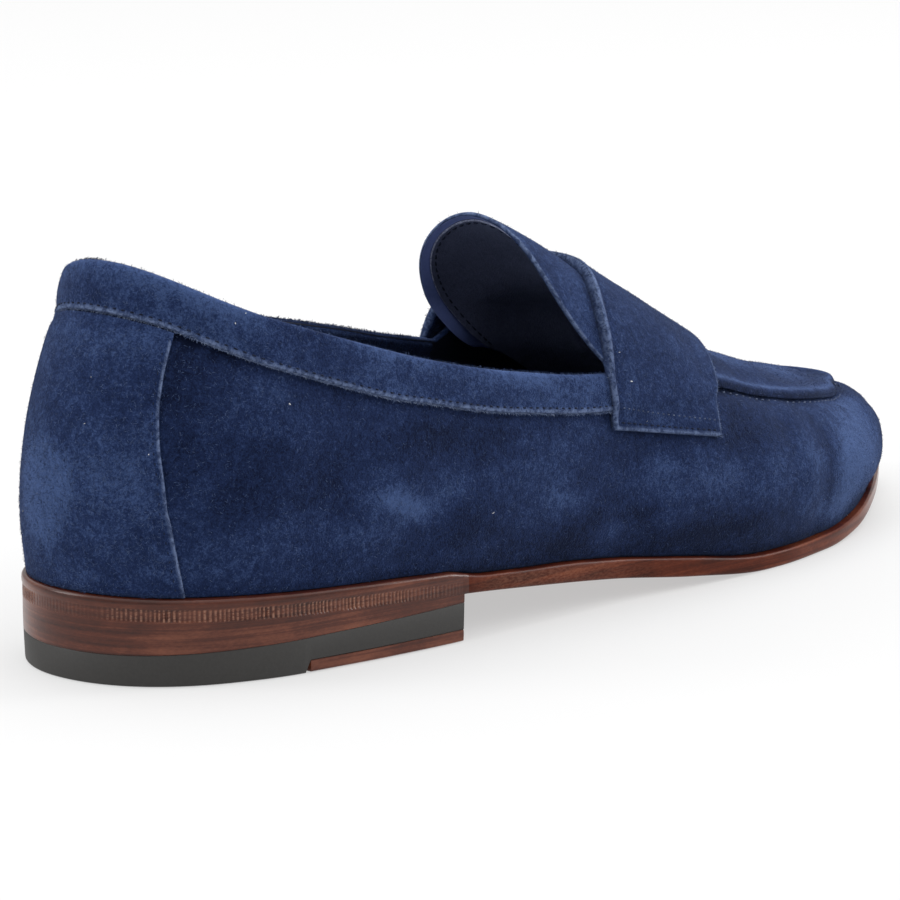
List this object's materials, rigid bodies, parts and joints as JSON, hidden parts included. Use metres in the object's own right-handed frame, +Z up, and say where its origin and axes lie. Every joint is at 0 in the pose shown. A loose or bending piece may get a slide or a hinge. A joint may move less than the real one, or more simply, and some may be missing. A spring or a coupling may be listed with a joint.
{
  "type": "loafer shoe",
  "caption": "Right-foot suede loafer with a plain strap across the instep, raised apron, tongue, collar band, leather sole and low stacked heel.",
  "frame": {"origin": "middle of the box on the floor plane under the sole", "axes": "+Y from heel to toe, +X to the outer side of the foot, +Z up"},
  "size_m": [0.098, 0.2844, 0.0882],
  "materials": {
    "suede": "brushed navy suede",
    "lining": "smooth dark navy lining leather",
    "sole_leather": "polished reddish brown leather",
    "rubber": "dark grey rubber"
  },
  "bodies": {
    "root": {"upper": "suede", "collar_band": "suede", "heel_counter": "suede", "apron": "suede", "tongue": "suede", "strap": "suede", "insole": "lining", "outsole": "sole_leather", "heel_lift": "sole_leather", "heel_tip": "sole_leather", "heel_top_piece": "rubber"}
  },
  "joints": []
}
